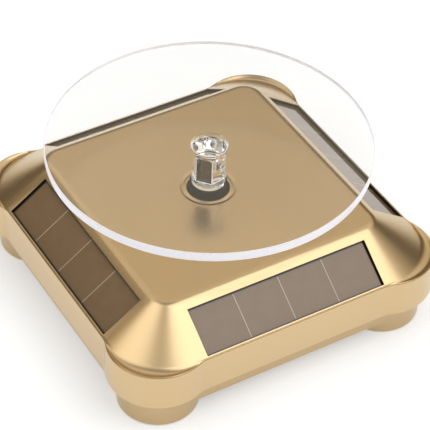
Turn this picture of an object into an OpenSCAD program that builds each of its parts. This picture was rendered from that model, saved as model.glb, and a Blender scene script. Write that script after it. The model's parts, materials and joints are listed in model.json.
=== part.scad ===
// Solar turntable display stand: a square moulded base with four small solar
// panels, a geared motor under its roof, and a clear disc on a clear column.
// Millimetres, Z up, origin on the floor under the middle of the base.

/* [Disc] */
// Diameter of the clear disc
disc_d = 100; // [80:1:120]
// Thickness of the clear disc
disc_t = 3; // [2:0.5:4]
// Height of the disc's upper face above the floor
disc_top = 54.1; // [53:0.1:58]
// Chamfer round the polished edge
disc_edge = 0.35; // [0.2:0.05:0.6]

/* [Column] */
// Radius of the round foot
column_foot_r = 5.25; // [4.9:0.05:5.6]
// Radius over the corners of the six-sided stem
column_hex_r = 5.2; // [5:0.05:5.2]
// Bottom of the six flats above the floor
column_flats_low = 39.4; // [38:0.1:40.5]
// Top of the six flats above the floor
column_flats_high = 48.3; // [47:0.1:48.5]
// Turn of the stem about its axis at rest
column_turn = 10.5; // [0:0.5:60]
// Radius of the flared head under the disc
column_head_r = 5.7; // [5.3:0.1:6]
// Radius of the spigot that plugs into the hub
spigot_r = 2.6; // [2.2:0.1:3]

/* [Upper shell] */
// Half the width of the band, side to side
band_half = 53.8; // [53.4:0.1:54.2]
// Bottom of the band above the floor
band_z = 11.1; // [10.6:0.1:11.6]
// Top of the band, where the sloping faces start
rim_z = 23.8; // [23.4:0.1:24.2]
// Height of the flat top above the floor
roof_z = 34.4; // [34.2:0.1:34.8]
// Half the width of the flat top
roof_half = 38.14; // [37.8:0.02:38.5]
// Radius of the round corner lobes
lobe_r = 15.8; // [15:0.1:16.4]
// Distance of a lobe's centre from the middle planes
lobe_c = 39.7; // [39.2:0.1:40]
// Hollow fillet between a side and a lobe
lobe_fillet = 8; // [6:0.5:10]
// Wall thickness of the shell
wall = 2.2; // [1.8:0.1:2.4]
// Half the length of a window
window_half_l = 30.67; // [28:0.01:31]
// Half the height of a window, up the slope
window_half_h = 7.33; // [6.5:0.01:7.4]
// Depth of a panel's face below the slope
panel_depth = 1.1; // [0.8:0.1:1.6]
// Thickness of a panel
panel_t = 1.4; // [1:0.1:1.5]

/* [Bottom cover] */
// Half the width of the cover
cover_half = 51.7; // [51:0.1:52]
// Underside of the cover above the floor
cover_z = 5.3; // [5:0.1:5.6]
// Thickness of the cover's floor and walls
cover_t = 1.8; // [1.6:0.1:2]
// Radius of a foot
foot_r = 12.5; // [12.2:0.1:13.2]
// Radius of a rubber foot pad
pad_r = 8.6; // [7:0.1:9]

/* [Gears] */
// Gear module
gear_m = 0.5; // [0.5]
// Teeth on a driving pinion
pinion_teeth = 10; // [10]
// Teeth on a compound wheel
wheel_teeth = 40; // [40]
// Teeth on the output gear
output_teeth = 50; // [50]
// Play between meshed flanks, for each gear
backlash = 0.05; // [0.04:0.01:0.07]

/* [Battery] */
// Middle of the battery bay behind the centre plane
bay_y = 25; // [25]
// Half the inside length of the bay
bay_half_l = 27.2; // [27.2]
// Half the inside width of the bay
bay_half_w = 7.8; // [7.7:0.05:7.8]
// Top of the bay's inside
bay_top = 21.6; // [21.4:0.1:21.8]

/* [Hidden] */
$fn = 64;

gold = [0.80, 0.66, 0.46];
dark = [0.16, 0.15, 0.14];
steel = [0.72, 0.73, 0.75];
brass = [0.78, 0.62, 0.32];
white = [0.90, 0.90, 0.88];
clear = [0.92, 0.95, 0.97, 0.4];

eps = 0.01;
gap = 0.05;

// The slopes: their angle, and the corner axis shared by all four
base_half = band_half - 0.14;
slope = atan((roof_z - rim_z) / (base_half - roof_half));
cone_c = 32.9;
slope_y = (base_half + roof_half) / 2 + 1;
slope_z = rim_z + (base_half - slope_y) * tan(slope);
inset = wall / sin(slope);
cavity_half = band_half - wall - 0.1;
cavity_z = rim_z - (cavity_half - base_half + inset) * tan(slope);
ceiling_z = roof_z - wall;
ceiling_half = roof_half + wall / tan(slope) - inset;
ledge = 1.2;
roof_hole_r = 6.35;

// Fixings
boss_r = 3.6;
boss_z = 8.6;
pilot_r = 1.25;
small_pilot_r = 0.98;
floor_z = cover_z + cover_t;
foot_bottom = 0.2;
foot_edge = 0.6;
pad_top = 1.5;
seat_z = 4.6;

// The gearbox: levels from the lower plate up
plate_t = 1.2;
plate_lower_z = 19.6;
plate_upper_z = 29.2;
plate_low = [-35.2, -30.4];
plate_high = [17.2, 15.4];
plate_posts = [[-31.5, -26.7], [13.7, -26.7], [13.7, 11.9], [-31.5, 8.5]];
shaft_r = 1.5;
pin_r = 0.75;
run_gap = 0.05;
wheel_r = gear_m * wheel_teeth / 2;
pinion_r = gear_m * pinion_teeth / 2;
output_r = gear_m * output_teeth / 2;
angle_2 = 250;
angle_1 = 200;
angle_m = 120;
reach_2 = output_r + pinion_r + 0.1;
reach_1 = wheel_r + pinion_r + 0.1;
gear_2_at = [reach_2 * cos(angle_2), reach_2 * sin(angle_2)];
gear_1_at = gear_2_at + [reach_1 * cos(angle_1), reach_1 * sin(angle_1)];
motor_at = gear_1_at + [reach_1 * cos(angle_m), reach_1 * sin(angle_m)];
motor_r = 12.2;
motor_z = 7.9;
motor_screw_reach = 8.5;
motor_screw_angle = 30;

// The board and the switch
board_low = [20, -34];
board_high = [44, -12];
board_z = 10.8;
board_t = 1.2;
board_posts = [[22.6, -31.4], [41.4, -14.6]];
switch_at = [30, -23];
switch_travel = 3;

// The battery bay and its door
box_wall = 1.2;
box_ear_x = 31.8;
box_ear_z = 10;
hinge_y = 33.2;
hinge_z = cover_z + cover_t / 2;
door_t = 1.5;
door_half = 27.4;
door_front = 17.4;
trunnion_r = 0.6;

// Points on an arc, from one angle to another
function arc(c, r, a0, a1, n) =
    [for (i = [0:n]) let (a = a0 + (a1 - a0) * i / n) [c[0] + r * cos(a), c[1] + r * sin(a)]];
function turned(points, a) =
    [for (p = points) [p[0] * cos(a) - p[1] * sin(a), p[0] * sin(a) + p[1] * cos(a)]];

// Square with a round lobe at each corner, drawn a given distance inside the band
function lobed_corner(d) =
    let (
        a = band_half - d,
        r = lobe_r - d,
        f = lobe_fillet + d,
        back = sqrt(pow(r + f, 2) - pow(a + f - lobe_c, 2)),
        swing = atan2(back, a + f - lobe_c)
    )
    concat(
        arc([a + f, lobe_c - back], f, 180, 180 - swing, 4),
        arc([lobe_c, lobe_c], r, -swing, 90 + swing, 28),
        arc([lobe_c - back, a + f], f, 270 + swing, 270, 4)
    );
function lobed(d) = [for (k = [0:3]) each turned(lobed_corner(d), 90 * k)];

// Square with plain round corners
function rounded(half, r) =
    [for (k = [0:3]) each turned(arc([half - r, half - r], r, 0, 90, 12), 90 * k)];
function rounded_box(low, high, r) = concat(
    arc([high[0] - r, high[1] - r], r, 0, 90, 6),
    arc([low[0] + r, high[1] - r], r, 90, 180, 6),
    arc([low[0] + r, low[1] + r], r, 180, 270, 6),
    arc([high[0] - r, low[1] + r], r, 270, 360, 6)
);

// Square frustum with cone corners that keep one axis, on a straight skirt
module frustum(low_half, high_half, skirt_z, low_z, high_z) {
    hull()
        for (x = [-cone_c, cone_c], y = [-cone_c, cone_c])
            translate([x, y, skirt_z]) {
                cylinder(r = low_half - cone_c, h = low_z - skirt_z);
                translate([0, 0, low_z - skirt_z])
                    cylinder(r1 = low_half - cone_c, r2 = high_half - cone_c, h = high_z - low_z);
            }
}

module at_slope(k) {
    rotate([0, 0, 90 * k])
        translate([0, -slope_y, slope_z])
            rotate([slope, 0, 0])
                children();
}

module slab(half_l, half_h, low, high) {
    translate([-half_l, -half_h, low])
        cube([2 * half_l, 2 * half_h, high - low]);
}

module at_lobes() {
    for (x = [-lobe_c, lobe_c], y = [-lobe_c, lobe_c])
        translate([x, y, 0])
            children();
}

module at_points(points) {
    for (p = points)
        translate([p[0], p[1], 0])
            children();
}

module post(r, low, high) {
    translate([0, 0, low])
        cylinder(r = r, h = high - low);
}

// Cross-head screw, pointing down, with its head's underside at the origin
module screw(shank_r, length, head_r, head_h) {
    difference() {
        union() {
            translate([0, 0, -length])
                cylinder(r = shank_r, h = length + eps, $fn = 24);
            cylinder(r = head_r, h = head_h, $fn = 32);
        }
        for (a = [0, 90])
            rotate([0, 0, a])
                translate([-head_r * 0.6, -0.2, head_h * 0.45])
                    cube([head_r * 1.2, 0.4, head_h]);
    }
}

// Involute gear outline, 25 degree flanks with stub tips, a tooth on the X axis
function involute(a) = tan(a) * 180 / PI - a;
function tooth_half(teeth, r) =
    let (
        pitch = gear_m * teeth / 2,
        base = pitch * cos(25),
        a = acos(min(1, base / max(r, base)))
    )
    90 / teeth - backlash / pitch * 90 / PI + involute(25) - involute(a);
function gear_points(teeth) =
    let (
        pitch = gear_m * teeth / 2,
        root = pitch - gear_m,
        step = (0.8 * gear_m + gear_m) / 3
    )
    [for (t = [0:teeth - 1], s = [-1, 1], i = [0:3])
        let (
            r = root + step * (s < 0 ? i : 3 - i),
            a = 360 * t / teeth + s * tooth_half(teeth, r)
        )
        [r * cos(a), r * sin(a)]
    ];
module toothed(teeth, low, high, phase = 0) {
    rotate([0, 0, phase])
        translate([0, 0, low])
            linear_extrude(high - low)
                polygon(gear_points(teeth));
}
// Phase that sets a gear's gap on a tooth of the gear it meets, seen at an angle
function meshed(phase, teeth, own_teeth, a) =
    a + 180 - ((phase - a) * teeth + 180) / own_teeth;

module upper_shell() {
    color(gold)
        difference() {
            union() {
                shell_walls();
                // The bosses reach down below the band onto the cover's posts
                at_lobes()
                    post(boss_r - 0.1, boss_z, band_z + 2);
            }
            at_lobes()
                post(pilot_r, boss_z - 1, 19);
        }
}

module shell_walls() {
    difference() {
        union() {
            translate([0, 0, band_z])
                linear_extrude(rim_z - band_z)
                    polygon(lobed(0));
            frustum(base_half, roof_half, rim_z - 1, rim_z, roof_z);
        }
        difference() {
            union() {
                translate([0, 0, band_z - 1])
                    linear_extrude(rim_z - wall - band_z + 1)
                        polygon(lobed(wall));
                frustum(cavity_half, ceiling_half, band_z + 4, cavity_z, ceiling_z);
            }
            for (k = [0:3])
                at_slope(k)
                    slab(window_half_l + ledge, window_half_h + ledge, -panel_depth - panel_t - ledge, 1);
            at_lobes()
                post(boss_r, band_z - 2, roof_z);
        }
        for (k = [0:3])
            at_slope(k) {
                slab(window_half_l, window_half_h, -panel_depth - panel_t - gap, 3);
                slab(window_half_l - ledge, window_half_h - ledge, -panel_depth - panel_t - 3, 0);
            }
        post(roof_hole_r, ceiling_z - 1, roof_z + 1);
        // Shallow groove that leaves a lip round the hole
        translate([0, 0, roof_z - 0.25])
            difference() {
                cylinder(r1 = 8.1, r2 = 8.7, h = 0.3);
                cylinder(r1 = 7.9, r2 = 7.1, h = 0.3);
            }
    }
}

module foot() {
    rotate_extrude()
        polygon(concat(
            [[0, foot_bottom]],
            arc([foot_r - foot_edge, foot_bottom + foot_edge], foot_edge, -90, 0, 6),
            [[foot_r, band_z - 0.1], [0, band_z - 0.1]]
        ));
}

module bottom_cover() {
    color(gold)
        difference() {
            union() {
                translate([0, 0, cover_z])
                    linear_extrude(band_z - 0.1 - cover_z)
                        polygon(rounded(cover_half, 12));
                translate([0, 0, band_z - 0.2])
                    linear_extrude(2)
                        polygon(lobed(wall + 0.2));
                at_lobes()
                    foot();
            }
            difference() {
                translate([0, 0, floor_z])
                    linear_extrude(10)
                        polygon(rounded(cover_half - cover_t, 10.2));
                at_lobes()
                    post(boss_r, floor_z - 1, boss_z - gap);
                at_points(board_posts)
                    post(2.4, floor_z - 1, board_z);
                for (x = [-box_ear_x, box_ear_x])
                    translate([x, bay_y, 0])
                        post(2.4, floor_z - 1, box_ear_z);
            }
            at_lobes() {
                post(3, -1, seat_z);
                post(1.45, 0, boss_z + 1);
                post(pad_r + 0.1, -1, pad_top + gap);
            }
            at_points(board_posts)
                post(small_pilot_r, floor_z - 0.8, board_z + 1);
            for (x = [-box_ear_x, box_ear_x])
                translate([x, bay_y, 0])
                    post(small_pilot_r, floor_z - 0.8, box_ear_z + 1);
            // Doorway with sockets for the door's trunnions
            translate([-door_half - 0.2, door_front - 0.2, cover_z - 1])
                cube([2 * door_half + 0.4, hinge_y + 0.9 - door_front + 0.2, cover_t + 2]);
            translate([-door_half - 1.5, hinge_y, hinge_z])
                rotate([0, 90, 0])
                    cylinder(r = trunnion_r + 0.06, h = 2 * door_half + 3);
            // Slot for the switch
            translate([switch_at[0] - 2.5, switch_at[1] - 1, cover_z - 1])
                cube([5, 2, cover_t + 2]);
        }
    // Posts under the lower gear plate
    color(gold)
        at_points(plate_posts)
            difference() {
                post(2.6, floor_z - 0.5, plate_lower_z - gap);
                post(small_pilot_r, floor_z + 1, plate_lower_z + 1);
            }
}

module solar_panel(k) {
    color([0.50, 0.44, 0.38])
        at_slope(k)
            slab(window_half_l - 0.1, window_half_h - 0.1, -panel_depth - panel_t, -panel_depth);
}
module solar_panel_front() { solar_panel(0); }
module solar_panel_right() { solar_panel(1); }
module solar_panel_back() { solar_panel(2); }
module solar_panel_left() { solar_panel(3); }

module foot_pad(x, y) {
    color(dark)
        translate([x * lobe_c, y * lobe_c, 0])
            rotate_extrude()
                polygon([[0, 0], [pad_r - 0.5, 0], [pad_r, 0.5], [pad_r, pad_top], [0, pad_top]]);
}
module foot_pad_front_left() { foot_pad(-1, -1); }
module foot_pad_front_right() { foot_pad(1, -1); }
module foot_pad_back_left() { foot_pad(-1, 1); }
module foot_pad_back_right() { foot_pad(1, 1); }

module turntable_disc() {
    low = disc_top - disc_t;
    r = disc_d / 2;
    color(clear)
        rotate_extrude($fn = 180)
            polygon([
                [0, low], [r - disc_edge, low], [r, low + disc_edge],
                [r, disc_top - disc_edge], [r - disc_edge, disc_top], [0, disc_top]
            ]);
}

module crystal_column() {
    hub_top = 36.6;
    top = disc_top - disc_t;
    color(clear)
        union() {
            post(spigot_r, 33.5, hub_top + 0.5);
            post(column_foot_r, hub_top + gap, column_flats_low);
            translate([0, 0, column_flats_low - eps])
                rotate([0, 0, column_turn])
                    cylinder(r = column_hex_r, h = column_flats_high - column_flats_low, $fn = 6);
            rotate_extrude()
                polygon([
                    [0, column_flats_high - 0.4], [4.3, column_flats_high - 0.4],
                    [4.6, top - 2.2], [5, top - 1.3],
                    [column_head_r, top - 0.6], [column_head_r, top], [0, top]
                ]);
        }
}

module drive_hub() {
    color(dark)
        difference() {
            rotate_extrude()
                polygon([[0, 31.85], [5.2, 31.85], [5.9, 32.5], [5.9, 36.2], [5.5, 36.6], [0, 36.6]]);
            post(spigot_r + run_gap, 33.45, 38);
            post(shaft_r + 0.01, 31, 33.05);
        }
}

module thrust_washer() {
    color(white)
        difference() {
            post(3.6, 31.43, 31.8);
            post(shaft_r + 0.1, 31, 32);
        }
}

module output_shaft() {
    color(steel)
        post(shaft_r, 17.4, 33);
}

module output_gear() {
    color(white)
        difference() {
            union() {
                toothed(output_teeth, 26.4, 28.2);
                post(3, 25.95, 28.5);
            }
            post(shaft_r + 0.01, 25, 29);
        }
}

// Wheel and pinion moulded in one, turning on a steel pin
module compound(at, wheel_z, wheel_top, pinion_top, pinion_phase) {
    color(white)
        translate([at[0], at[1], 0])
            difference() {
                union() {
                    post(1.7, plate_lower_z + plate_t + 0.1, wheel_z + 0.5);
                    toothed(wheel_teeth, wheel_z, wheel_top);
                    toothed(pinion_teeth, wheel_top - 0.2, pinion_top, pinion_phase);
                    post(1.6, pinion_top - 0.5, plate_upper_z - 0.1);
                }
                post(pin_r + run_gap, plate_lower_z, plate_upper_z + 1);
            }
}
module compound_gear_1() {
    compound(gear_1_at, 22, 23.6, 26, meshed(0, wheel_teeth, pinion_teeth, angle_1));
}
module compound_gear_2() {
    compound(gear_2_at, 24.4, 25.8, 28.6, meshed(0, output_teeth, pinion_teeth, angle_2));
}

module gear_pin(at) {
    color(steel)
        translate([at[0], at[1], 0])
            post(pin_r, plate_lower_z, plate_upper_z + plate_t);
}
module gear_pin_1() { gear_pin(gear_1_at); }
module gear_pin_2() { gear_pin(gear_2_at); }

module at_motor() {
    translate([motor_at[0], motor_at[1], 0])
        children();
}
module at_motor_screws() {
    for (s = [-1, 1])
        rotate([0, 0, motor_screw_angle])
            translate([s * motor_screw_reach, 0, 0])
                children();
}

module motor_pinion() {
    color(brass)
        at_motor()
            difference() {
                toothed(pinion_teeth, 21.5, 24, meshed(0, wheel_teeth, pinion_teeth, angle_m));
                post(1.01, 21, 25);
            }
}

module motor_shaft() {
    color(steel)
        at_motor()
            post(1, motor_z + 0.1, 24.1);
}

module motor_armature() {
    color([0.55, 0.33, 0.2])
        at_motor()
            difference() {
                post(8.4, 10, 17.8);
                for (k = [0:2])
                    rotate([0, 0, 120 * k])
                        translate([4.5, -0.8, 9])
                            cube([6, 1.6, 10]);
                post(1.01, 9, 19);
            }
}

module motor_magnet() {
    color([0.3, 0.3, 0.31])
        at_motor()
            difference() {
                post(motor_r - 0.65, 10.2, 17.6);
                post(9, 10, 18);
            }
}

module motor_can() {
    color(steel)
        at_motor()
            difference() {
                union() {
                    post(motor_r, motor_z, plate_lower_z - gap);
                    post(3, plate_lower_z - 0.5, plate_lower_z + 1.3);
                }
                post(motor_r - 0.6, motor_z - 1, plate_lower_z - 0.8);
                post(1 + run_gap, 18, 22);
                at_motor_screws()
                    post(small_pilot_r, 18, 20);
            }
}

module motor_end_cap() {
    color(dark)
        at_motor()
            difference() {
                post(motor_r - 0.65, motor_z - 0.5, motor_z + 1.2);
                post(1 + run_gap, motor_z, motor_z + 2);
                for (s = [-1, 1])
                    translate([s * 7 - 1.05, -0.3, motor_z - 1])
                        cube([2.1, 0.6, 4]);
            }
}

module motor_terminals() {
    color(brass)
        at_motor()
            for (s = [-1, 1])
                translate([s * 7 - 1, -0.25, motor_z - 0.75])
                    cube([2, 0.5, 2.6]);
}

module motor_screws() {
    color(steel)
        at_motor()
            at_motor_screws()
                translate([0, 0, plate_lower_z + plate_t])
                    screw(small_pilot_r - 0.03, 2, 1.8, 0.95);
}

module gear_plate(z, holes) {
    color(dark)
        difference() {
            translate([0, 0, z])
                linear_extrude(plate_t)
                    polygon(rounded_box(plate_low, plate_high, 3));
            post(2.61, z - 1, z + 2);
            at_points([gear_1_at, gear_2_at])
                post(pin_r + 0.01, z - 1, z + 2);
            at_points(plate_posts)
                post(1.1, z - 1, z + 2);
            at_points(holes)
                post(3.1, z - 1, z + 2);
        }
}
module gear_plate_lower() {
    difference() {
        gear_plate(plate_lower_z, [motor_at]);
        at_motor()
            at_motor_screws()
                post(1.1, plate_lower_z - 1, plate_lower_z + 2);
    }
}
module gear_plate_upper() {
    gear_plate(plate_upper_z, []);
}

module bush(low, flange_z) {
    color(brass)
        difference() {
            union() {
                post(2.6, low, flange_z + 0.5);
                post(4, flange_z, flange_z + 1);
            }
            post(shaft_r + run_gap, low - 1, flange_z + 2);
        }
}
module bush_lower() { bush(18.6, plate_lower_z + plate_t); }
module bush_upper() { bush(28.7, plate_upper_z + plate_t); }

module plate_spacers() {
    color(brass)
        at_points(plate_posts)
            difference() {
                post(2.2, plate_lower_z + plate_t, plate_upper_z);
                post(1.05, plate_lower_z, plate_upper_z + 1);
            }
}

module gearbox_screws() {
    color(steel)
        at_points(plate_posts)
            translate([0, 0, plate_upper_z + plate_t])
                screw(small_pilot_r - 0.03, 18, 1.9, 1.1);
}

module circuit_board() {
    color([0.12, 0.36, 0.22])
        difference() {
            translate([0, 0, board_z])
                linear_extrude(board_t)
                    polygon(rounded_box(board_low, board_high, 1));
            at_points(board_posts)
                post(1.1, board_z - 1, board_z + 2);
        }
}

module storage_capacitor() {
    color([0.2, 0.22, 0.3])
        translate([38.5, -28.5, board_z + board_t])
            rotate_extrude()
                polygon([[0, 0], [4, 0], [4, 1.2], [3.7, 1.5], [4, 1.8], [4, 8.7], [3.7, 9], [0, 9]]);
}

module control_chip() {
    color(dark)
        translate([26, -19, board_z + board_t])
            cube([5, 4, 1.5]);
    color(steel)
        for (i = [0:3], y = [-19.9, -15])
            translate([26.3 + 1.27 * i, y, board_z + board_t])
                cube([0.45, 0.9, 0.6]);
}

module board_screws() {
    color(steel)
        at_points(board_posts)
            translate([0, 0, board_z + board_t])
                screw(small_pilot_r - 0.03, 4.5, 1.8, 1.1);
}

module switch_body() {
    color(steel)
        translate([switch_at[0], switch_at[1], 0])
            difference() {
                translate([-4.5, -2.2, floor_z + gap])
                    cube([9, 4.4, board_z - floor_z - gap]);
                translate([-3.15, -1.2, floor_z - 1])
                    cube([6.3, 2.4, 3.3]);
            }
}

module switch_slider() {
    color(dark)
        translate([switch_at[0] - switch_travel / 2, switch_at[1], 0]) {
            translate([-1.5, -1.1, floor_z + 0.1])
                cube([3, 2.2, 2]);
            translate([-0.8, -0.8, cover_z - 1.4])
                cube([1.6, 1.6, 4]);
        }
}

module battery_box() {
    low = [-bay_half_l - box_wall, bay_y - bay_half_w - box_wall, floor_z + gap];
    color(dark)
        difference() {
            union() {
                translate(low)
                    cube([-2 * low[0], 2 * (bay_half_w + box_wall), bay_top + box_wall - low[2]]);
                for (x = [-box_ear_x, box_ear_x])
                    translate([x, bay_y, 0])
                        post(2.6, box_ear_z, box_ear_z + 1.5);
                translate([-box_ear_x, bay_y - 2.6, box_ear_z])
                    cube([2 * box_ear_x, 5.2, 1.5]);
            }
            translate([-bay_half_l, bay_y - bay_half_w, cover_z])
                cube([2 * bay_half_l, 2 * bay_half_w, bay_top - cover_z]);
            for (x = [-box_ear_x, box_ear_x])
                translate([x, bay_y, 0])
                    post(1.1, box_ear_z - 1, box_ear_z + 3);
        }
}

module battery_box_screws() {
    color(steel)
        for (x = [-box_ear_x, box_ear_x])
            translate([x, bay_y, box_ear_z + 1.5])
                screw(small_pilot_r - 0.03, 4, 1.8, 1.1);
}

module contact_plate(x) {
    translate([x, bay_y - 5, 9.5])
        cube([0.4, 10, 10]);
}
module battery_contact_minus() {
    color(steel)
        contact_plate(-bay_half_l + gap);
}
module battery_contact_plus() {
    color(steel)
        union() {
            contact_plate(bay_half_l - gap - 0.4);
            translate([bay_half_l - 1.1, bay_y, 14.4])
                rotate([0, 90, 0])
                    cylinder(r1 = 1.6, r2 = 2.6, h = 0.9);
        }
}

// Cone spring: rings of wire round a narrowing helix
module battery_spring() {
    turns = 3;
    per_turn = 14;
    sides = 6;
    wire_r = 0.3;
    length = 4.2;
    last = turns * per_turn;
    rings = [for (i = [0:last])
        let (
            a = 360 * i / per_turn,
            r = 4.2 - 1.6 * i / last,
            x = wire_r + length * i / last
        )
        for (j = [0:sides - 1])
            let (b = 360 * j / sides, q = r + wire_r * cos(b))
            [x + wire_r * sin(b), q * cos(a), q * sin(a)]
    ];
    walls = [for (i = [0:last - 1], j = [0:sides - 1])
        let (n = (j + 1) % sides)
        [sides * i + j, sides * i + n, sides * (i + 1) + n, sides * (i + 1) + j]
    ];
    ends = [
        [for (j = [0:sides - 1]) sides - 1 - j],
        [for (j = [0:sides - 1]) sides * last + j]
    ];
    color(steel)
        translate([-bay_half_l + gap + 0.45, bay_y, 14.4])
            polyhedron(rings, concat(walls, ends));
}

module battery_door() {
    color(gold)
        difference() {
            union() {
                translate([-door_half, door_front, hinge_z - door_t / 2])
                    cube([2 * door_half, hinge_y - door_front, door_t]);
                translate([-door_half, hinge_y, hinge_z])
                    rotate([0, 90, 0])
                        cylinder(r = door_t / 2, h = 2 * door_half);
                translate([-door_half - 1.1, hinge_y, hinge_z])
                    rotate([0, 90, 0])
                        cylinder(r = trunnion_r, h = 2 * door_half + 2.2);
            }
            // Thumb notch at the free edge
            translate([0, door_front, hinge_z - door_t / 2 - 0.2])
                cylinder(r = 5, h = 0.8);
        }
}

module housing_screws() {
    color(steel)
        at_lobes()
            translate([0, 0, seat_z])
                mirror([0, 0, 1])
                    screw(pilot_r - 0.03, 13, 2.6, 1.8);
}

upper_shell();
bottom_cover();
solar_panel_front();
solar_panel_right();
solar_panel_back();
solar_panel_left();
foot_pad_front_left();
foot_pad_front_right();
foot_pad_back_left();
foot_pad_back_right();
turntable_disc();
crystal_column();
drive_hub();
thrust_washer();
output_shaft();
output_gear();
compound_gear_1();
compound_gear_2();
gear_pin_1();
gear_pin_2();
motor_pinion();
motor_shaft();
motor_armature();
motor_magnet();
motor_can();
motor_end_cap();
motor_terminals();
motor_screws();
gear_plate_lower();
gear_plate_upper();
bush_lower();
bush_upper();
plate_spacers();
gearbox_screws();
circuit_board();
storage_capacitor();
control_chip();
board_screws();
switch_body();
switch_slider();
battery_box();
battery_box_screws();
battery_spring();
battery_contact_minus();
battery_contact_plus();
battery_door();
housing_screws();
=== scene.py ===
# Solar display turntable: the looks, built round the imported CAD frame
import json
import math

import bmesh
import bpy
from mathutils import Matrix, Vector


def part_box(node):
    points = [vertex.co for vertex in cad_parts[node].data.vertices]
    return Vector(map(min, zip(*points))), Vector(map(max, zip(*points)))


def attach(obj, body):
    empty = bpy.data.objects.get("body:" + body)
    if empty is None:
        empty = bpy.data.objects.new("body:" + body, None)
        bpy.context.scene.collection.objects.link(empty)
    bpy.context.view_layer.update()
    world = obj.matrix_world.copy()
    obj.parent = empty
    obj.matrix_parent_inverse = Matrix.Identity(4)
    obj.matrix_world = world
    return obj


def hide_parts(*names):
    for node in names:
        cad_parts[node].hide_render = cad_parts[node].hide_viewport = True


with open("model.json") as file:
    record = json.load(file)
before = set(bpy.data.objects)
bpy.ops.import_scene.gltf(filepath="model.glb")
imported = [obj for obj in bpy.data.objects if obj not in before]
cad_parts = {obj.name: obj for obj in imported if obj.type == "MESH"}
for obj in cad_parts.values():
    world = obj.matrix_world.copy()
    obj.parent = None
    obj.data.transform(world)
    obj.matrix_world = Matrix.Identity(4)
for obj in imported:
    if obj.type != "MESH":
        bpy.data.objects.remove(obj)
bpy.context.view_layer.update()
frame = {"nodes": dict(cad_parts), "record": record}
mm = 0.001
print("frame loaded:", len(frame["nodes"]), "nodes")

# Camera, in metres and degrees
view = {
    "target": (0, 0, 0.020),
    "azimuth": -31.53,
    "elevation": 42.25,
    "distance": 0.59322,
    "roll": 1.84,
    "lens": 158.43,
    "sensor": 36,
    "shift": (0.01867, 0.02126),
}


def addCamera():
    a = math.radians(view["azimuth"])
    e = math.radians(view["elevation"])
    roll = math.radians(view["roll"])
    right = Vector((math.cos(a), math.sin(a), 0))
    back = Vector((math.sin(a) * math.cos(e), -math.cos(a) * math.cos(e), math.sin(e)))
    up = back.cross(right)
    x = right * math.cos(roll) + up * math.sin(roll)
    y = up * math.cos(roll) - right * math.sin(roll)
    place = Matrix((x, y, back)).transposed().to_4x4()
    place.translation = Vector(view["target"]) + back * view["distance"]
    camera = bpy.data.objects.new("camera", bpy.data.cameras.new("camera"))
    camera.data.lens = view["lens"]
    camera.data.sensor_width = view["sensor"]
    camera.data.shift_x, camera.data.shift_y = view["shift"]
    camera.matrix_world = place
    bpy.context.scene.collection.objects.link(camera)
    bpy.context.scene.camera = camera


# Two large softboxes hang over the stand and leave a dark gap straight above it
lampColour = (0.97, 0.985, 1.0)
softboxes = [
    {"name": "overheadRight", "place": (0.24, -0.44, 0.92), "size": (0.78, 0.85), "watts": 3.35},
    {"name": "overheadLeft", "place": (-0.64, 0.10, 0.86), "size": (0.62, 0.95), "watts": 1.55},
]


def addSoftbox(box):
    lamp = bpy.data.lights.new(box["name"], "AREA")
    lamp.shape = "RECTANGLE"
    lamp.size, lamp.size_y = box["size"]
    lamp.energy = box["watts"]
    lamp.color = lampColour
    obj = bpy.data.objects.new(box["name"], lamp)
    obj.location = box["place"]
    aim = Vector(view["target"]) - Vector(box["place"])
    obj.rotation_euler = aim.to_track_quat("-Z", "Y").to_euler()
    bpy.context.scene.collection.objects.link(obj)


# The studio's colour by height, from the horizon up to straight overhead
sky = {
    "behind": [
        (0.0, (1.0, 0.99, 0.97)),
        (0.1, (0.60, 0.56, 0.50)),
        (0.2, (0.12, 0.085, 0.055)),
        (0.48, (0.055, 0.036, 0.020)),
        (0.6, (0.52, 0.45, 0.34)),
        (0.68, (0.92, 0.83, 0.67)),
        (0.85, (0.92, 0.90, 0.86)),
        (0.93, (0.50, 0.47, 0.42)),
        (0.98, (0.26, 0.24, 0.21)),
        (1.0, (0.26, 0.24, 0.21)),
    ],
    "inFront": [
        (0.0, (0.90, 0.89, 0.87)),
        (0.1, (0.62, 0.61, 0.58)),
        (0.25, (0.52, 0.50, 0.46)),
        (0.6, (0.52, 0.50, 0.46)),
        (0.85, (0.70, 0.68, 0.64)),
        (0.95, (0.40, 0.38, 0.34)),
        (1.0, (0.26, 0.24, 0.21)),
    ],
    "blend": (0.05, -0.45),  # how far along Y the back sky ends and the front sky is full
}


def skyRamp(nodes, links, height, levels):
    ramp = nodes.new("ShaderNodeValToRGB")
    steps = ramp.color_ramp.elements
    for step, (place, colour) in ((steps[0], levels[0]), (steps[-1], levels[-1])):
        step.position = place
        step.color = (*colour, 1)
    for place, colour in levels[1:-1]:
        steps.new(place).color = (*colour, 1)
    links.new(height, ramp.inputs[0])
    return ramp.outputs[0]


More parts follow.
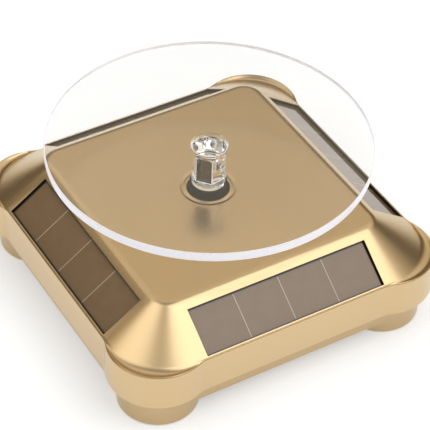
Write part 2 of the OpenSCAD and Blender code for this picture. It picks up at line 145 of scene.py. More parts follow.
def addWorld():
    world = bpy.data.worlds.new("studio")
    bpy.context.scene.world = world
    world.use_nodes = True
    nodes, links = world.node_tree.nodes, world.node_tree.links
    where = nodes.new("ShaderNodeTexCoord")
    split = nodes.new("ShaderNodeSeparateXYZ")
    links.new(where.outputs["Generated"], split.inputs[0])
    towards = nodes.new("ShaderNodeMapRange")
    towards.interpolation_type = "SMOOTHSTEP"
    towards.inputs["From Min"].default_value = sky["blend"][0]
    towards.inputs["From Max"].default_value = sky["blend"][1]
    links.new(split.outputs["Y"], towards.inputs["Value"])
    blend = nodes.new("ShaderNodeMix")
    blend.data_type = "RGBA"
    links.new(towards.outputs[0], blend.inputs[0])
    # Sockets 6 and 7 are the two colours to mix, and output 2 is the mixed one
    links.new(skyRamp(nodes, links, split.outputs["Z"], sky["behind"]), blend.inputs[6])
    links.new(skyRamp(nodes, links, split.outputs["Z"], sky["inFront"]), blend.inputs[7])
    links.new(blend.outputs[2], nodes["Background"].inputs["Color"])


addCamera()
for box in softboxes:
    addSoftbox(box)
addWorld()
bpy.context.scene.view_settings.view_transform = "Standard"
print("camera and lights set")


# Materials
def newMaterial(name):
    material = bpy.data.materials.new(name)
    material.use_nodes = True
    nodes = material.node_tree.nodes
    return material, nodes, material.node_tree.links, nodes["Principled BSDF"]


def objectNoise(nodes, links, scale, detail=2.0, stretch=None):
    where = nodes.new("ShaderNodeTexCoord")
    noise = nodes.new("ShaderNodeTexNoise")
    noise.inputs["Scale"].default_value = scale
    noise.inputs["Detail"].default_value = detail
    if stretch:
        mapping = nodes.new("ShaderNodeMapping")
        mapping.inputs["Scale"].default_value = stretch
        links.new(where.outputs["Object"], mapping.inputs["Vector"])
        links.new(mapping.outputs["Vector"], noise.inputs["Vector"])
    else:
        links.new(where.outputs["Object"], noise.inputs["Vector"])
    return noise.outputs["Fac"]


def mixedColour(nodes, links, factor, low, high):
    ramp = nodes.new("ShaderNodeValToRGB")
    ends = ramp.color_ramp.elements
    ends[0].position, ends[1].position = 0.32, 0.68  # noise seldom goes past these
    ends[0].color = (*low, 1)
    ends[1].color = (*high, 1)
    links.new(factor, ramp.inputs[0])
    return ramp.outputs[0]


def spread(nodes, links, factor, low, high):
    span = nodes.new("ShaderNodeMapRange")
    span.inputs["To Min"].default_value = low
    span.inputs["To Max"].default_value = high
    links.new(factor, span.inputs["Value"])
    return span.outputs[0]


def bumped(nodes, links, shader, factor, strength, depth):
    bump = nodes.new("ShaderNodeBump")
    bump.inputs["Strength"].default_value = strength
    bump.inputs["Distance"].default_value = depth
    links.new(factor, bump.inputs["Height"])
    links.new(bump.outputs["Normal"], shader.inputs["Normal"])


# Satin gold spray. The cover underneath is given a darker gold than the shell: painted shade, for the
# shade under the shell's overhang
goldSpray = {
    "shell": ((0.645, 0.475, 0.265), (0.655, 0.484, 0.272)),
    "cover": ((0.535, 0.391, 0.215), (0.545, 0.400, 0.222)),
    "metal": 0.94,
    "flake": 2600,
    "cloud": 45,
    "rough": (0.25, 0.28),
    "bump": 0.007,
    "bumpDepth": 0.00005,
    "coat": 0.1,
    "coatRough": 0.25,
}


def makeGold(name, colours):
    material, nodes, links, shader = newMaterial(name)
    flake = objectNoise(nodes, links, goldSpray["flake"], 3)
    cloud = objectNoise(nodes, links, goldSpray["cloud"], 2)
    links.new(mixedColour(nodes, links, cloud, *colours), shader.inputs["Base Color"])
    links.new(spread(nodes, links, flake, *goldSpray["rough"]), shader.inputs["Roughness"])
    bumped(nodes, links, shader, flake, goldSpray["bump"], goldSpray["bumpDepth"])
    shader.inputs["Metallic"].default_value = goldSpray["metal"]
    shader.inputs["Coat Weight"].default_value = goldSpray["coat"]
    shader.inputs["Coat Roughness"].default_value = goldSpray["coatRough"]
    return material


plainUsual = {
    "metal": 0.0,
    "bump": 0.1,
    "bumpDepth": 0.00003,
    "stretch": None,
    "coat": 0.0,
    "shine": 0.5,
}


# One finish from its two mottle colours, roughness range and mottle size, and whatever is not as usual
def makePlain(name, low, high, rough, grain, **unlike):
    finish = {**plainUsual, **unlike}
    material, nodes, links, shader = newMaterial(name)
    noise = objectNoise(nodes, links, grain, 3, finish["stretch"])
    links.new(mixedColour(nodes, links, noise, low, high), shader.inputs["Base Color"])
    links.new(spread(nodes, links, noise, *rough), shader.inputs["Roughness"])
    bumped(nodes, links, shader, noise, finish["bump"], finish["bumpDepth"])
    shader.inputs["Metallic"].default_value = finish["metal"]
    shader.inputs["Coat Weight"].default_value = finish["coat"]
    shader.inputs["Specular IOR Level"].default_value = finish["shine"]
    return material


acrylic = {"ior": 1.49, "smudge": 60, "rough": (0.0, 0.012)}


# Acrylic that bends what is seen through it and lets the lamps through, dimmed by shade
def makeClear(name, tint, shade):
    material, nodes, links, shader = newMaterial(name)
    shader.inputs["Base Color"].default_value = (*tint, 1)
    shader.inputs["Transmission Weight"].default_value = 1
    shader.inputs["IOR"].default_value = acrylic["ior"]
    smudge = objectNoise(nodes, links, acrylic["smudge"], 2)
    links.new(spread(nodes, links, smudge, *acrylic["rough"]), shader.inputs["Roughness"])
    lampThrough = nodes.new("ShaderNodeBsdfTransparent")
    lampThrough.inputs["Color"].default_value = (*shade, 1)
    ray = nodes.new("ShaderNodeLightPath")
    mix = nodes.new("ShaderNodeMixShader")
    links.new(ray.outputs["Is Shadow Ray"], mix.inputs[0])
    links.new(shader.outputs[0], mix.inputs[1])
    links.new(lampThrough.outputs[0], mix.inputs[2])
    links.new(mix.outputs[0], nodes["Material Output"].inputs["Surface"])
    return material


# The disc's polished edge is painted pale and made to glow: painted light, for the light that runs along
# inside it
edgePaintedGlow = {"transmission": 0.3, "colour": (0.93, 0.91, 1.0), "strength": 0.25}


def makePaintedGlowEdge():
    material = makePlain(
        "edgeAcrylicPaintedGlow", (0.90, 0.89, 0.94), (0.94, 0.93, 0.97), (0.25, 0.3), 30, bump=0.01,
    )
    shader = material.node_tree.nodes["Principled BSDF"]
    shader.inputs["Transmission Weight"].default_value = edgePaintedGlow["transmission"]
    shader.inputs["Emission Color"].default_value = (*edgePaintedGlow["colour"], 1)
    shader.inputs["Emission Strength"].default_value = edgePaintedGlow["strength"]
    return material


gold = makeGold("goldPaint", goldSpray["shell"])
# The cover's darker gold is painted shade, not a different paint
shadedCoverGold = makeGold("shadedCoverPaint", goldSpray["cover"])
clearDisc = makeClear("discAcrylic", (0.985, 0.99, 1.0), (0.96, 0.965, 0.97))
clearColumn = makeClear("columnAcrylic", (0.99, 0.99, 0.985), (0.9, 0.89, 0.88))
# One facet of the column is tinted near black: painted shade, for the dark facet seen through the clear
# column
paintedShadeFacet = makeClear("paintedShadeFacet", (0.018, 0.016, 0.016), (0.5, 0.48, 0.46))
# Pale, glowing edge finish: painted light on the disc's rim and the column's bevels
edgeAcrylicPaintedGlow = makePaintedGlowEdge()
silverFoil = makePlain(
    "silverFoil", (0.80, 0.78, 0.75), (0.90, 0.88, 0.85), (0.05, 0.15), 700, metal=1.0,
)
hubBlack = makePlain(
    "hubBlack", (0.004, 0.004, 0.004), (0.008, 0.007, 0.007), (0.5, 0.6), 900, bump=0.01, shine=0.1,
)
wallBlack = makePlain(
    "wallBlack", (0.006, 0.005, 0.005), (0.012, 0.011, 0.010), (0.5, 0.65), 1500, shine=0.2,
)
padRubber = makePlain(
    "padRubber", (0.022, 0.021, 0.020), (0.035, 0.033, 0.031), (0.7, 0.9), 1200, bump=0.3,
)
cellBrown = makePlain(
    "cellBrown", (0.186, 0.116, 0.060), (0.200, 0.127, 0.068), (0.07, 0.11), 300, bump=0.01, coat=0.5,
)
cellLine = makePlain(
    "cellLine", (0.42, 0.36, 0.29), (0.50, 0.43, 0.36), (0.2, 0.3), 2000, bump=0.05, coat=0.6,
)
cellEdge = makePlain(
    "cellEdge", (0.035, 0.030, 0.028), (0.050, 0.044, 0.040), (0.25, 0.35), 1200, coat=0.5,
)
blackPlastic = makePlain(
    "blackPlastic", (0.012, 0.012, 0.012), (0.022, 0.022, 0.022), (0.4, 0.55), 1400,
)
slotFinish = {
    "steel": makePlain(
        "steel", (0.52, 0.53, 0.55), (0.66, 0.67, 0.69), (0.22, 0.38), 900, metal=1.0, stretch=(1, 1, 6),
    ),
    "brass": makePlain(
        "brass", (0.66, 0.48, 0.20), (0.78, 0.58, 0.28), (0.2, 0.34), 800, metal=1.0, stretch=(1, 1, 5),
    ),
    "gear_acetal": makePlain("gearAcetal", (0.74, 0.73, 0.70), (0.80, 0.79, 0.76), (0.35, 0.45), 500),
    "magnet_ferrite": makePlain(
        "magnetFerrite", (0.05, 0.05, 0.052), (0.09, 0.09, 0.093), (0.6, 0.8), 700, metal=0.3, bump=0.3,
    ),
    "armature_copper": makePlain(
        "armatureCopper", (0.45, 0.16, 0.07), (0.62, 0.26, 0.12), (0.25, 0.4), 500,
        metal=1.0, stretch=(1, 1, 14),
    ),
    "circuit_board": makePlain(
        "circuitBoard", (0.010, 0.075, 0.030), (0.022, 0.130, 0.055), (0.25, 0.4), 160, coat=0.4,
    ),
    "capacitor_sleeve": makePlain(
        "capacitorSleeve", (0.012, 0.016, 0.045), (0.022, 0.028, 0.070), (0.2, 0.3), 300, coat=0.5,
    ),
    "black_plastic": blackPlastic,
    "shell_paint": gold,
    "solar_cell": cellBrown,
    "foot_rubber": padRubber,
    "disc_acrylic": clearDisc,
    "column_acrylic": clearColumn,
    "hub_plastic": hubBlack,
}
for part in frame["record"]["subparts"]:
    for holder in frame["nodes"][part["node"]].material_slots:
        holder.material = slotFinish[part["material_slot"]]
# The door is sprayed together with the cover, so it takes the cover's darker gold, the same painted
# shade
for holder in frame["nodes"]["battery_door"].material_slots:
    holder.material = shadedCoverGold
print("materials made:", len(bpy.data.materials))


# Mesh helpers. Everything is drawn in millimetres
def finishPiece(name, bm, materials, body, stands=(), sharp=32, weighted=True):
    bmesh.ops.remove_doubles(bm, verts=bm.verts, dist=0.0005)
    bmesh.ops.recalc_face_normals(bm, faces=bm.faces)
    for edge in bm.edges:
        if edge.is_manifold and edge.calc_face_angle(0) > math.radians(sharp):
            edge.smooth = False
    for face in bm.faces:
        face.smooth = True
    bmesh.ops.scale(bm, vec=(mm, mm, mm), verts=bm.verts)
    mesh = bpy.data.meshes.new(name)
    bm.to_mesh(mesh)
    bm.free()
    for material in materials:
        mesh.materials.append(material)
    piece = bpy.data.objects.new(name, mesh)
    bpy.context.scene.collection.objects.link(piece)
    if weighted:
        modifier = piece.modifiers.new("evenFlats", "WEIGHTED_NORMAL")
        modifier.keep_sharp = True
    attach(piece, body)
    if stands:
        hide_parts(*stands)


# A closed ring of edges: one point swept round each centre in turn, once for each quarter
def sweptRing(bm, start, sweeps, height):
    ring = []
    for quarter in range(4):
        turn = Matrix.Rotation(math.pi / 2 * quarter, 3, "Z")
        tip = bm.verts.new(turn @ Vector((*start, height)))
        ring.append(tip)
        for centre, angle, steps in sweeps:
            before = len(bm.verts)
            bmesh.ops.spin(
                bm, geom=[tip], cent=turn @ Vector((*centre, height)), axis=(0, 0, 1),
                angle=math.radians(angle), steps=steps, use_duplicate=False,
            )
            bm.verts.ensure_lookup_table()
            ring += bm.verts[before:]
            tip = ring[-1]
    pairs = list(zip(ring, ring[1:] + ring[:1]))
    for pair in pairs:
        if not bm.edges.get(pair):
            bm.edges.new(pair)
    return [bm.edges.get(pair) for pair in pairs]


# Spins a profile of (radius, height) points once round an upright axis
def lathe(bm, profile, segments, centre=(0, 0)):
    points = [bm.verts.new((centre[0] + r, centre[1], z)) for r, z in profile]
    line = [bm.edges.new(pair) for pair in zip(points, points[1:])]
    bmesh.ops.spin(
        bm, geom=points + line, cent=(*centre, 0), axis=(0, 0, 1),
        angle=math.tau, steps=segments, use_merge=True, use_duplicate=False,
    )


def arcProfile(centre, radius, start, end, steps):
    angles = [math.radians(start + (end - start) * i / steps) for i in range(steps + 1)]
    return [(centre[0] + radius * math.cos(a), centre[1] + radius * math.sin(a)) for a in angles]


# Every face, edge and corner of a set of faces, ready for a cut
def everythingIn(faces):
    edges = [e for f in faces for e in f.edges]
    corners = [v for f in faces for v in f.verts]
    return list(dict.fromkeys(faces + edges + corners))


def cutFaces(bm, faces, spot, normal):
    out = bmesh.ops.bisect_plane(
        bm, geom=everythingIn(faces), dist=0.0001, plane_co=spot, plane_no=normal,
    )
    return [g for g in out["geom"] if isinstance(g, bmesh.types.BMFace)]


def nearest(faces, spot):
    return min(faces, key=lambda f: (f.calc_center_median() - spot).length)


# A small bar with softened edges
def bar(bm, at, half, low, high, rounding):
    size = Matrix.Diagonal((2 * half[0], 2 * half[1], high - low, 1))
    place = Matrix.Translation((*at, (low + high) / 2)) @ size
    made = bmesh.ops.create_cube(bm, size=1, matrix=place)["verts"]
    edges = list(dict.fromkeys(e for v in made for e in v.link_edges))
    bmesh.ops.bevel(
        bm, geom=edges, offset=rounding, segments=3, profile=0.5, affect="EDGES", material=-1,
    )


# Base outlines, from the shell's own sizes
shell = {
    "half": 53.8,
    "bandBottom": 11.1,
    "bandEdge": [(0.5, 0), (0.14, 0.15), (0, 0.5)],  # inset and height of the softened lower edge
    "rim": 23.8,
    "rimRound": 0.8,
    "roof": 34.4,
    "roofHalf": 38.14,
    "roofRound": 3.6,
    "roofThick": 2.2,
    "underRoof": 33.2,
    "roundSteps": 5,
    "slopeHalf": 53.66,
    "coneCentre": 32.9,
    "lobeCentre": 39.7,
    "lobe": 15.8,
    "lobeFillet": 8,
    "lobeSteps": 44,
    "filletSteps": 6,
    "wall": 2.2,
    "insideHalf": 51.5,
    "insideRim": 19.6,
    "window": (30.67, 7.33),
    "windowShift": 1.0,
    "windowRound": 0.22,
    "pocket": 2.55,
    "slopeFlat": 500,  # the flats of the slopes are the only faces with a larger area
}
slopeAngle = math.atan((shell["roof"] - shell["rim"]) / (shell["slopeHalf"] - shell["roofHalf"]))
# The rim's rounding starts here, on the upright band, and ends at the top of the band
rimStart = (
    shell["rim"] - (shell["half"] - shell["slopeHalf"]) * math.tan(slopeAngle)
    - shell["rimRound"] * math.tan(math.pi / 4 - slopeAngle / 2)
)
rimTop = rimStart + shell["rimRound"] * math.cos(slopeAngle)


def lobedRing(bm, inset, height):
    a = shell["half"] - inset
    c = shell["lobeCentre"]
    r = shell["lobe"] - inset
    f = shell["lobeFillet"] + inset
    back = math.sqrt((r + f) ** 2 - (a + f - c) ** 2)
    swing = math.degrees(math.atan2(back, a + f - c))
    sweeps = [
        ((a + f, c - back), -swing, shell["filletSteps"]),
        ((c, c), 90 + 2 * swing, shell["lobeSteps"]),
        ((c - back, a + f), -swing, shell["filletSteps"]),
    ]
    return sweptRing(bm, (a, c - back), sweeps, height)


def roundedRing(bm, half, centre, height):
    steps = shell["lobeSteps"] + 2 * shell["filletSteps"]
    return sweptRing(bm, (half, centre), [((centre, centre), 90, steps)], height)


def circleRing(bm, radius, height):
    steps = shell["lobeSteps"] + 2 * shell["filletSteps"] + 1
    step = 90 / steps
    a = math.radians(step / 2)
    start = (radius * math.cos(a), radius * math.sin(a))
    return sweptRing(bm, start, [((0, 0), 90 - step, steps - 1)], height)


def bridge(bm, rings):
    for one, other in zip(rings, rings[1:]):
        bmesh.ops.bridge_loops(bm, edges=one + other)


# Height of the slopes at a given distance out from the axis
def slopeHeight(half):
    return shell["rim"] + (shell["slopeHalf"] - half) * math.tan(slopeAngle)


# Turns slope coordinates, x along, y up and z out, into the shared frame for one side
def slopeFrame(side):
    mid = (shell["slopeHalf"] + shell["roofHalf"]) / 2 + shell["windowShift"]
    return (
        Matrix.Rotation(math.pi / 2 * side, 4, "Z")
        @ Matrix.Translation((0, -mid, slopeHeight(mid)))
        @ Matrix.Rotation(slopeAngle, 4, "X")
    )


# Upper shell
ledge = {
    "half": 53.3,
    "cuts": 7,
    "sink": 0.75,
    "sinkWidth": 2.2,
    "bead": 0.35,
    "beadWidth": 1.5,
    "rise": 0.25,
}
# Radius and drop below the roof: a shallow groove, then a lip round the hub's hole
hubHole = [
    (9.1, 0), (8.65, 0.06), (8.3, 0.2), (8.0, 0.26), (7.7, 0.2), (7.3, 0.07),
    (6.95, 0.01), (6.65, 0.07), (6.42, 0.28), (6.35, 0.6), (6.35, shell["roofThick"]),
]
boss = {"bore": 1.25, "radius": 3.5, "low": 8.6, "high": 22.5, "segments": 32}


# Cuts the ledge of each lobe into strips and sinks them, leaving a bead round the rim
def sinkLedge(bm):
    cone, lobe = shell["coneCentre"], shell["lobeCentre"]
    low, high = rimTop - 0.01, rimTop + ledge["rise"]
    flats = [f for f in bm.faces if all(low < v.co.z < high for v in f.verts)]
    across = [e for f in flats for e in f.edges if sum(g in flats for g in e.link_faces) == 2]
    cut = bmesh.ops.subdivide_edges(
        bm, edges=list(dict.fromkeys(across)), cuts=ledge["cuts"], use_grid_fill=True,
    )
    for vert in dict.fromkeys(g for g in cut["geom_inner"] if isinstance(g, bmesh.types.BMVert)):
        x, y = abs(vert.co.x), abs(vert.co.y)
        fromCone = math.hypot(max(x - cone, 0), max(y - cone, 0)) - (ledge["half"] - cone)
        fromRim = shell["lobe"] - ledge["bead"] - math.hypot(max(x - lobe, 0), max(y - lobe, 0))
        sink = min(max(fromCone / ledge["sinkWidth"], 0), 1)
        rise = min(max(fromRim / ledge["beadWidth"], 0), 1)
        vert.co.z -= ledge["sink"] * (1 - (1 - sink) ** 2) * rise * rise * (3 - 2 * rise)


# Cuts the flat of each slope on the window's lines and presses the window in
def pressWindows(bm):
    long, high = shell["window"]
    rimEdges = []
    for side in range(4):
        place = slopeFrame(side)
        turn = place.to_3x3()
        cut = [nearest([f for f in bm.faces if f.calc_area() > shell["slopeFlat"]], place.translation)]
        for half, axis in ((long, Vector((1, 0, 0))), (high, Vector((0, 1, 0)))):
            for sign in (-1, 1):
                cut = cutFaces(bm, cut, place @ (axis * half * sign), turn @ axis)
        pane = nearest(cut, place.translation)
        rimEdges += pane.edges[:]
        pressed = bmesh.ops.extrude_discrete_faces(bm, faces=[pane])["faces"][0]
        bmesh.ops.translate(bm, verts=pressed.verts[:], vec=turn @ Vector((0, 0, -shell["pocket"])))
        # The pocket's floor and walls are coloured black
        pressed.material_index = 1
        for edge in pressed.edges:
            for wallFace in edge.link_faces:
                wallFace.material_index = 1
    bmesh.ops.bevel(
        bm, geom=rimEdges, offset=shell["windowRound"], segments=2, profile=0.5,
        affect="EDGES", material=0,
    )


def makeUpperShell():
    bm = bmesh.new()
    rim, roof, cone = shell["rimRound"], shell["roof"], shell["coneCentre"]
    bottom, steps = shell["bandBottom"], shell["roundSteps"]
    rings = [lobedRing(bm, inset, bottom + rise) for inset, rise in shell["bandEdge"]]
    # The rim turns from the upright band to the angle of the slopes
    for step in range(steps + 1):
        a = (math.pi / 2 - slopeAngle) * step / steps
        rings.append(lobedRing(bm, rim * (1 - math.cos(a)), rimStart + rim * math.sin(a)))
    rings.append(roundedRing(bm, ledge["half"], cone, slopeHeight(ledge["half"])))
    # The slopes turn over into the flat roof
    r = shell["roofRound"]
    pull = r * math.tan(slopeAngle / 2)
    for step in range(steps + 1):
        a = slopeAngle * (1 - step / steps)
        half = shell["roofHalf"] - pull + r * math.sin(a)
        rings.append(roundedRing(bm, half, cone, roof - r + r * math.cos(a)))
    rings += [circleRing(bm, radius, roof - drop) for radius, drop in hubHole]
    # Back down the inside
    rings.append(roundedRing(bm, shell["underRoof"], cone, roof - shell["roofThick"]))
    rings.append(roundedRing(bm, shell["insideHalf"], cone, shell["insideRim"]))
    rings.append(lobedRing(bm, shell["wall"], shell["insideRim"]))
    rings.append(lobedRing(bm, shell["wall"], bottom))
    rings.append(rings[0])
    bridge(bm, rings)
    sinkLedge(bm)
    pressWindows(bm)
    inner, outer, low, high = boss["bore"], boss["radius"], boss["low"], boss["high"]
    tube = [(inner, low), (outer, low), (outer, high), (inner, high), (inner, low)]
    lobe = Vector((shell["lobeCentre"], shell["lobeCentre"], 0))
    for side in range(4):
        spot = Matrix.Rotation(math.pi / 2 * side, 3, "Z") @ lobe
        lathe(bm, tube, boss["segments"], spot[:2])
    finishPiece("upperShell", bm, [gold, wallBlack], "base", ["upper_shell"], sharp=42)


makeUpperShell()
print("upper shell built")

# Bottom cover with its feet
cover = {
    "half": 51.7,
    "corner": 39.7,
    "bottom": 5.3,
    "floor": 7.1,
    "edgeRound": 0.7,
    "edgeSteps": 4,
    "shoulder": 10.95,
    "shoulderInset": 2.35,
    "top": 13,
    "wall": 1.8,
    "doorway": ((-27.6, 17.2), (27.6, 34.1)),
    "switchSlot": ((27.5, -24), (32.5, -22)),
    "postFoot": 6.5,
    "postSegments": 32,
    "posts": [
        # where, radius, top
        ((-31.5, -26.7), 2.6, 19.55), ((13.7, -26.7), 2.6, 19.55), ((13.7, 11.9), 2.6, 19.55),
        ((-31.5, 8.5), 2.6, 19.55), ((22.6, -31.4), 2.4, 10.75), ((41.4, -14.6), 2.4, 10.75),
        ((-31.8, 25), 2.4, 9.95), ((31.8, 25), 2.4, 9.95),
    ],
}
foot = {
    "radius": 12.5,
    "bottom": 0.2,
    "edge": 0.6,
    "edgeSteps": 5,
    "padRecess": 8.7,
    "padCeiling": 1.55,
    "recessEdge": 0.15,
    "screwWell": 3.6,
    "wellFloor": 8.55,
    "segments": 96,
}


# Cuts a rectangle through both skins of the floor and joins the two holes
def cutOpening(bm, low, high):
    flats = [
        f for f in bm.faces
        if abs(f.normal.z) > 0.99 and f.calc_center_median().z < cover["floor"] + 0.5
    ]
    for axis in (0, 1):
        for value in (low[axis], high[axis]):
            spot, normal = [0, 0, 0], [0, 0, 0]
            spot[axis], normal[axis] = value, 1
            flats = cutFaces(bm, flats, spot, normal)
    inside = [f for f in flats if low[0] < f.calc_center_median().x < high[0]
              and low[1] < f.calc_center_median().y < high[1]]
    ring = [e for f in inside for e in f.edges]
    ring = [e for e in dict.fromkeys(ring) if sum(f in inside for f in e.link_faces) == 1]
    bmesh.ops.delete(bm, geom=inside, context="FACES")
    bmesh.ops.bridge_loops(bm, edges=ring)


def makeBottomCover():
    bm = bmesh.new()
    half, corner, bottom, wall = cover["half"], cover["corner"], cover["bottom"], cover["wall"]
    shoulder, inset, top = cover["shoulder"], cover["shoulderInset"], cover["top"]
    r = cover["edgeRound"]
    rings = [
        roundedRing(bm, out, corner, height)
        for out, height in arcProfile((half - r, bottom + r), r, -90, 0, cover["edgeSteps"])
    ]
    rings.append(roundedRing(bm, half, corner, shoulder))
    rings.append(lobedRing(bm, inset, shoulder))
    rings.append(lobedRing(bm, inset, top))
    rings.append(roundedRing(bm, half - wall, corner, top))
    rings.append(roundedRing(bm, half - wall, corner, cover["floor"]))
    bridge(bm, rings)
    bmesh.ops.contextual_create(bm, geom=rings[0])
    bmesh.ops.contextual_create(bm, geom=rings[-1])
    bmesh.ops.recalc_face_normals(bm, faces=bm.faces)
    cutOpening(bm, *cover["doorway"])
    cutOpening(bm, *cover["switchSlot"])
    # Each foot is hollow twice: for its rubber pad below and for the screw above
    radius, edge, base = foot["radius"], foot["edge"], foot["bottom"]
    recess, ceiling, lip = foot["padRecess"], foot["padCeiling"], foot["recessEdge"]
    well, wellFloor = foot["screwWell"], foot["wellFloor"]
    profile = (
        [(0, ceiling), (recess, ceiling), (recess, base + lip), (recess + lip, base)]
        + arcProfile((radius - edge, base + edge), edge, -90, 0, foot["edgeSteps"])
        + [(radius, shoulder), (well, shoulder), (well, wellFloor), (0, wellFloor)]
    )
    lobe = shell["lobeCentre"]
    for spot in ((-lobe, -lobe), (lobe, -lobe), (-lobe, lobe), (lobe, lobe)):
        lathe(bm, profile, foot["segments"], spot)
    for spot, radius, postTop in cover["posts"]:
        post = [(0, cover["postFoot"]), (radius, cover["postFoot"]), (radius, postTop), (0, postTop)]
        lathe(bm, post, cover["postSegments"], spot)
    # The cover and its feet take the darker gold: painted shade under the shell
    finishPiece("bottomCover", bm, [shadedCoverGold], "base", ["bottom_cover"])


makeBottomCover()

pad = {
    "profile": [
        (0, 0.35), (2.2, 0.35), (2.5, 0.05), (7.6, 0), (8.2, 0.15), (8.6, 0.6), (8.6, 1.5), (0, 1.5),
    ],
    "segments": 72,
}
for corner in ("front_left", "front_right", "back_left", "back_right"):
    low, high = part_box("foot_pad_" + corner)
    bm = bmesh.new()
    lathe(bm, pad["profile"], pad["segments"], ((low + high) / 2 / mm)[:2])
    pieceName = "footPad" + corner.title().replace("_", "")
    finishPiece(pieceName, bm, [padRubber], "base", ["foot_pad_" + corner])
print("bottom cover and pads built")

# Battery door's grip and the switch, seen from underneath
grip = {
    "ridges": 4,
    "first": 18.4,
    "step": 0.9,
    "half": (2.9, 0.2),
    "low": 5.6,
    "high": 6.06,
    "round": 0.12,
}


def makeDoorGrip():
    bm = bmesh.new()
    for ridge in range(grip["ridges"]):
        spot = (0, grip["first"] + grip["step"] * ridge)
        bar(bm, spot, grip["half"], grip["low"], grip["high"], grip["round"])
    # The grip takes the cover's darker gold: painted shade
    finishPiece("doorGrip", bm, [shadedCoverGold], "door")


# Half sizes along x and y, then bottom, top and rounding
slider = {
    "at": (28.5, -23),
    "plate": ((1.5, 1.1), 7.2, 9.2, 0.15),
    "stem": ((0.8, 0.8), 4.2, 7.4, 0.15),
    "ridge": ((0.14, 0.75), 3.92, 4.4, 0.08),
    "ridgeStep": 0.5,
}


def makeSlider():
    bm = bmesh.new()
    x, y = slider["at"]
    bar(bm, (x, y), *slider["plate"])
    bar(bm, (x, y), *slider["stem"])
    for i in (-1, 0, 1):
        bar(bm, (x + slider["ridgeStep"] * i, y), *slider["ridge"])
    finishPiece("switchSlider", bm, [blackPlastic], "switch_knob", ["switch_slider"])


makeDoorGrip()
makeSlider()
print("door grip and switch slider built")

# Solar panels: brown cells, pale lines between them and a dark margin
panel = {"half": (30.57, 7.23), "front": -1.1, "back": -2.5, "line": 0.13, "edge": 0.35}


def makePanel(side, name):
    bm = bmesh.new()
    long, high = panel["half"]
    edge, line = panel["edge"], panel["line"]
    size = Matrix.Diagonal((2 * long, 2 * high, panel["front"] - panel["back"], 1))
    middle = Matrix.Translation((0, 0, (panel["front"] + panel["back"]) / 2))
    bmesh.ops.create_cube(bm, size=1, matrix=middle @ size)
    lines = (-long / 2, 0, long / 2)
    cuts = [(x + s * line, 0, 0) for x in lines for s in (-1, 1)]
    cuts += [(s * (long - edge), 0, 0) for s in (-1, 1)]
    for spot in cuts:
        cutFaces(bm, bm.faces[:], spot, (1, 0, 0))
    for s in (-1, 1):
        cutFaces(bm, bm.faces[:], (0, s * (high - edge), 0), (0, 1, 0))
    for face in bm.faces:
        spot = face.calc_center_median()
        inField = abs(spot.x) < long - edge and abs(spot.y) < high - edge
        if face.normal.z < 0.9 or not inField:
            face.material_index = 2
        elif min(abs(spot.x - x) for x in lines) < line:
            face.material_index = 1
    bmesh.ops.transform(bm, matrix=slopeFrame(side), verts=bm.verts)
    finishPiece("solarPanel" + name.title(), bm, [cellBrown, cellLine, cellEdge], "base",
                ["solar_panel_" + name], weighted=False)


for side, name in enumerate(("front", "right", "back", "left")):
    makePanel(side, name)
print("solar panels built")

# Disc, column and hub
disc = {"radius": 50, "top": 54.1, "thick": 3, "chamfer": 0.35, "segments": 256}


def makeDisc():
    bm = bmesh.new()
    bmesh.ops.create_cone(
        bm, cap_ends=True, segments=disc["segments"], radius1=disc["radius"], radius2=disc["radius"],
        depth=disc["thick"], matrix=Matrix.Translation((0, 0, disc["top"] - disc["thick"] / 2)),
    )
    rims = [e for e in bm.edges if abs(e.verts[0].co.z - e.verts[1].co.z) < 0.001]
    bmesh.ops.bevel(
        bm, geom=rims, offset=disc["chamfer"], segments=2, profile=0.5, affect="EDGES", material=-1,
    )
    # Rim and chamfer faces take the pale, glowing edge finish: painted light
    for face in bm.faces:
        face.material_index = 0 if abs(face.normal.z) > 0.99 else 1
    finishPiece("turntableDisc", bm, [clearDisc, edgeAcrylicPaintedGlow], "turntable",
                ["turntable_disc"])


# The column's top stops just under the disc, so the two clear faces do not coincide
column = {
    "plug": [(2.3, 33.5), (2.6, 33.8), (2.6, 36.65)],
    "footRadius": 5.25,
    "footLow": 36.65,
    "footEdge": 0.25,
    "hexRadius": 5.2,
    "low": 39.4,
    "high": 48.3,
    "head": [(4.62, 48.8), (4.8, 49.4), (5.15, 49.95), (5.65, 50.4), (5.7, 50.6), (5.7, 51.06)],
    "top": 51.06,
    "turn": 40.5,
    "edge": 0.13,
    # Direction of the facet that is tinted near black: painted shade
    "paintedShadeWay": 220.5,
    "cuts": 15,
    "fold": 0.6,
}


def ringEdges(ring):
    return list(dict.fromkeys(e for v in ring for e in v.link_edges))


def roundSection(bm, radius, height):
    ring = bmesh.ops.create_circle(bm, segments=6 * (column["cuts"] + 1), radius=radius)["verts"]
    bmesh.ops.translate(bm, verts=ring, vec=(0, 0, height))
    return ringEdges(ring)


def hexSection(bm, radius, height):
    ring = bmesh.ops.create_circle(bm, segments=6, radius=radius)["verts"]
    bmesh.ops.translate(bm, verts=ring, vec=(0, 0, height))
    out = bmesh.ops.subdivide_edges(bm, edges=ringEdges(ring), cuts=column["cuts"])
    return [g for g in out["geom_split"] + out["geom_inner"] if isinstance(g, bmesh.types.BMEdge)]


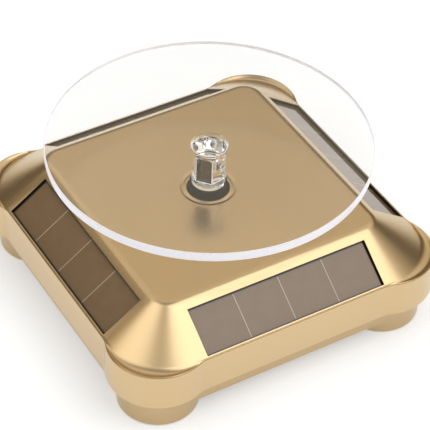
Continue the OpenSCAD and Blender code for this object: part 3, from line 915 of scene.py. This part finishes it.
def makeColumn():
    bm = bmesh.new()
    low, high = column["low"], column["high"]
    footRadius, footLow, footEdge = column["footRadius"], column["footLow"], column["footEdge"]
    sections = [roundSection(bm, *step) for step in column["plug"]]
    sections += [
        roundSection(bm, footRadius - footEdge, footLow),
        roundSection(bm, footRadius, footLow + footEdge),
        roundSection(bm, footRadius, low - footEdge),
        hexSection(bm, column["hexRadius"], low),
        hexSection(bm, column["hexRadius"], high),
    ]
    sections += [roundSection(bm, *step) for step in column["head"]]
    for one, other in zip(sections, sections[1:]):
        bmesh.ops.bridge_loops(bm, edges=list(dict.fromkeys(one + other)))
    bmesh.ops.holes_fill(bm, edges=bm.edges[:], sides=0)
    turn = Matrix.Rotation(math.radians(column["turn"]), 3, "Z")
    bmesh.ops.rotate(bm, verts=bm.verts, cent=(0, 0, 0), matrix=turn)
    bmesh.ops.recalc_face_normals(bm, faces=bm.faces)
    # The facet facing the way given in the column's table is tinted near black: painted shade
    dark = math.radians(column["paintedShadeWay"])
    paintedShadeWay = Vector((math.cos(dark), math.sin(dark), 0))
    for face in bm.faces:
        height = face.calc_center_median().z
        underFoot = face.normal.z < -0.99 and height < footLow + footEdge
        if underFoot or height < footLow - footEdge:
            face.material_index = 1
        elif low < height < high and face.normal.dot(paintedShadeWay) > 0.99:
            face.material_index = 2
    # The facets' corners and the head's rim are bevelled and given the glowing edge finish: a painted
    # highlight along them
    folds = [e for e in bm.edges if e.calc_face_angle(0) > column["fold"]]
    corners = [e for e in folds if all(low - 0.01 < v.co.z < high + 0.01 for v in e.verts)]
    rims = [e for e in folds if all(v.co.z > column["top"] - 0.01 for v in e.verts)]
    bmesh.ops.bevel(
        bm, geom=corners + rims, offset=column["edge"], segments=1, profile=0.5,
        affect="EDGES", material=3,
    )
    finishPiece("crystalColumn", bm, [clearColumn, silverFoil, paintedShadeFacet, edgeAcrylicPaintedGlow], "turntable",
                ["crystal_column"], sharp=22)


hub = {
    "profile": [
        (1.55, 31.85), (5.2, 31.85), (5.9, 32.5), (5.9, 36.25), (5.8, 36.5), (5.55, 36.6),
        (2.95, 36.6), (2.7, 36.4), (2.7, 33.45), (1.55, 33.45), (1.55, 31.85),
    ],
    "segments": 96,
}


def makeHub():
    bm = bmesh.new()
    lathe(bm, hub["profile"], hub["segments"])
    finishPiece("driveHub", bm, [hubBlack], "spindle", ["drive_hub"])


makeDisc()
makeColumn()
makeHub()
print("disc, column and hub built")

# Floor
floorFinish = {
    "size": 4.0,
    "tones": ((0.955, 0.952, 0.945), (0.97, 0.967, 0.96)),
    "mottle": 3,
    "rough": 0.9,
    "glow": (0.80, 0.89, 1.0),
    "glowStrength": 0.35,
}


def makeFloor():
    bm = bmesh.new()
    bmesh.ops.create_grid(bm, x_segments=1, y_segments=1, size=floorFinish["size"] / 2)
    mesh = bpy.data.meshes.new("floor")
    bm.to_mesh(mesh)
    bm.free()
    material, nodes, links, shader = newMaterial("floorPaint")
    tone = objectNoise(nodes, links, floorFinish["mottle"], 1)
    links.new(mixedColour(nodes, links, tone, *floorFinish["tones"]), shader.inputs["Base Color"])
    shader.inputs["Roughness"].default_value = floorFinish["rough"]
    shader.inputs["Emission Color"].default_value = (*floorFinish["glow"], 1)
    shader.inputs["Emission Strength"].default_value = floorFinish["glowStrength"]
    mesh.materials.append(material)
    floor = bpy.data.objects.new("floor", mesh)
    bpy.context.scene.collection.objects.link(floor)


makeFloor()
print("floor laid")
